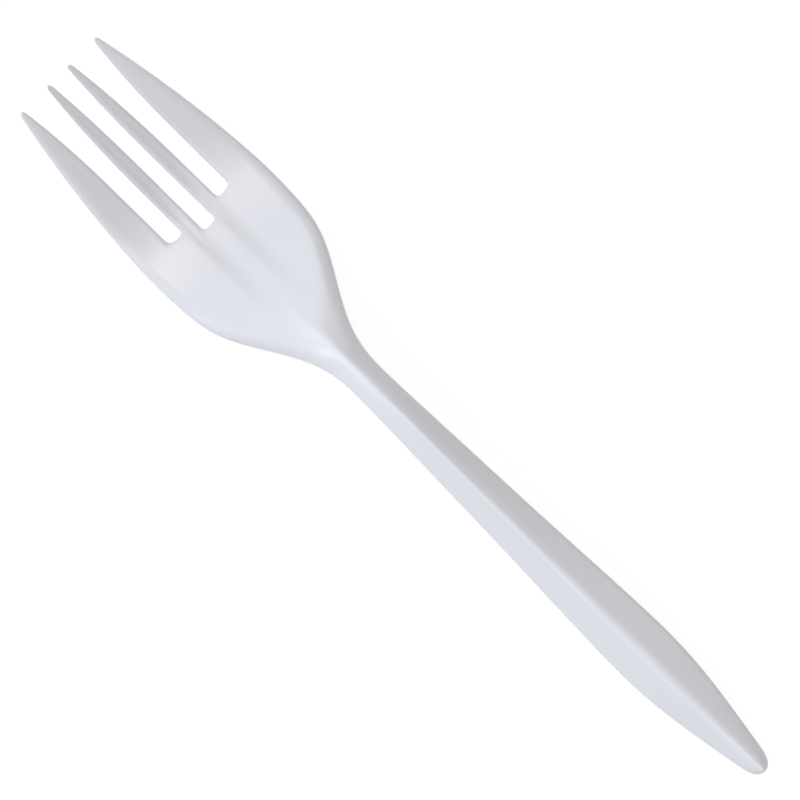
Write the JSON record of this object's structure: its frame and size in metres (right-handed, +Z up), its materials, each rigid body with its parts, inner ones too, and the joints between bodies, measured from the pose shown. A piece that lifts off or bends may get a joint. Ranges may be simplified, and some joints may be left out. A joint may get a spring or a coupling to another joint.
{
  "type": "disposable plastic fork",
  "caption": "White moulded plastic fork with four tapering upturned tines, a broad head with rounded edges and a roof-shaped handle that is hollow underneath.",
  "frame": {"origin": "on the table, under the middle of the fork's length and width", "axes": "+X from the handle towards the tines, +Z up from the table with the fork face up, +Y to the left seen from above with the tines to the right"},
  "size_m": [0.155, 0.0254, 0.0124],
  "materials": {
    "white_plastic": "satin"
  },
  "bodies": {
    "root": {"fork": "white_plastic"}
  },
  "joints": []
}
